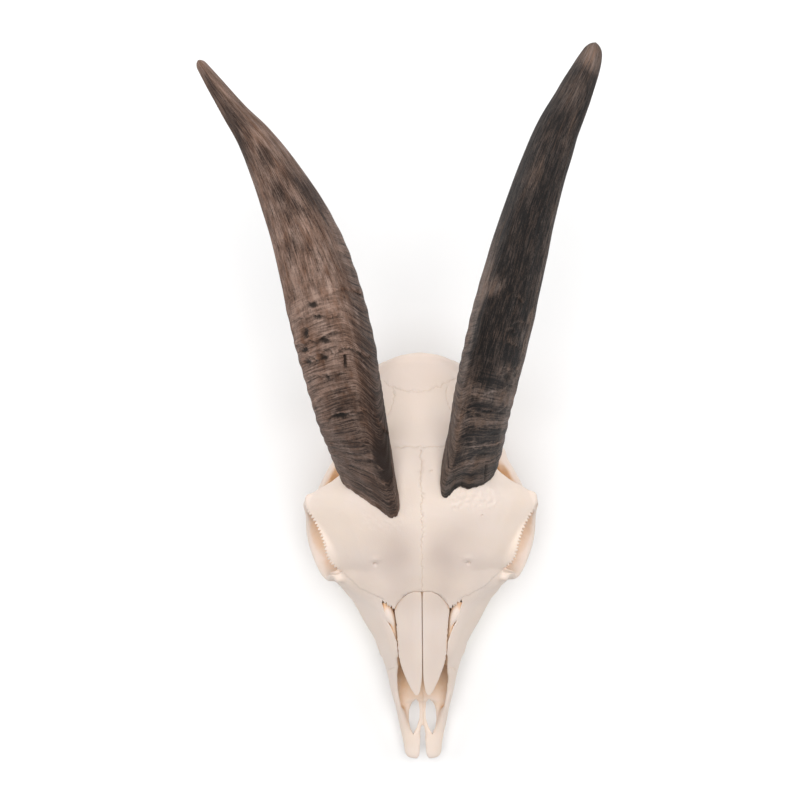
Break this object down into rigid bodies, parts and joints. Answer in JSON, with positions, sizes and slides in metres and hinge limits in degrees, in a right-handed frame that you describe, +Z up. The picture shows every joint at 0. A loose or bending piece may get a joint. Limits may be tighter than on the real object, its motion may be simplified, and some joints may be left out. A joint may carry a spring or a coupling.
{
  "type": "goat skull",
  "caption": "Dry goat skull without its lower jaw, with swept-back horns, open eye sockets, nasal plates and upper cheek teeth, lying on its teeth",
  "frame": {"origin": "under the middle of the whole piece, at the height of the surface that the cheek teeth rest on", "axes": "+Z up away from the palate, +Y from the muzzle towards the back of the skull and the horn tips, +X towards the animal's left"},
  "size_m": [0.1936, 0.3643, 0.2062],
  "materials": {
    "bone": "matte, creamy white dry bone",
    "tooth": "satin, pale enamel over yellowish dentine",
    "horn_left": "matte, near-black horn with brown streaks",
    "horn_right": "matte, grey-brown ringed horn"
  },
  "bodies": {
    "root": {"cranium": "bone", "nasal_bone_left": "bone", "nasal_bone_right": "bone", "horn_left": "horn_left", "horn_right": "horn_right", "premolar_2_left": "tooth", "premolar_3_left": "tooth", "premolar_4_left": "tooth", "molar_1_left": "tooth", "molar_2_left": "tooth", "molar_3_left": "tooth", "premolar_2_right": "tooth", "premolar_3_right": "tooth", "premolar_4_right": "tooth", "molar_1_right": "tooth", "molar_2_right": "tooth", "molar_3_right": "tooth"}
  },
  "joints": []
}
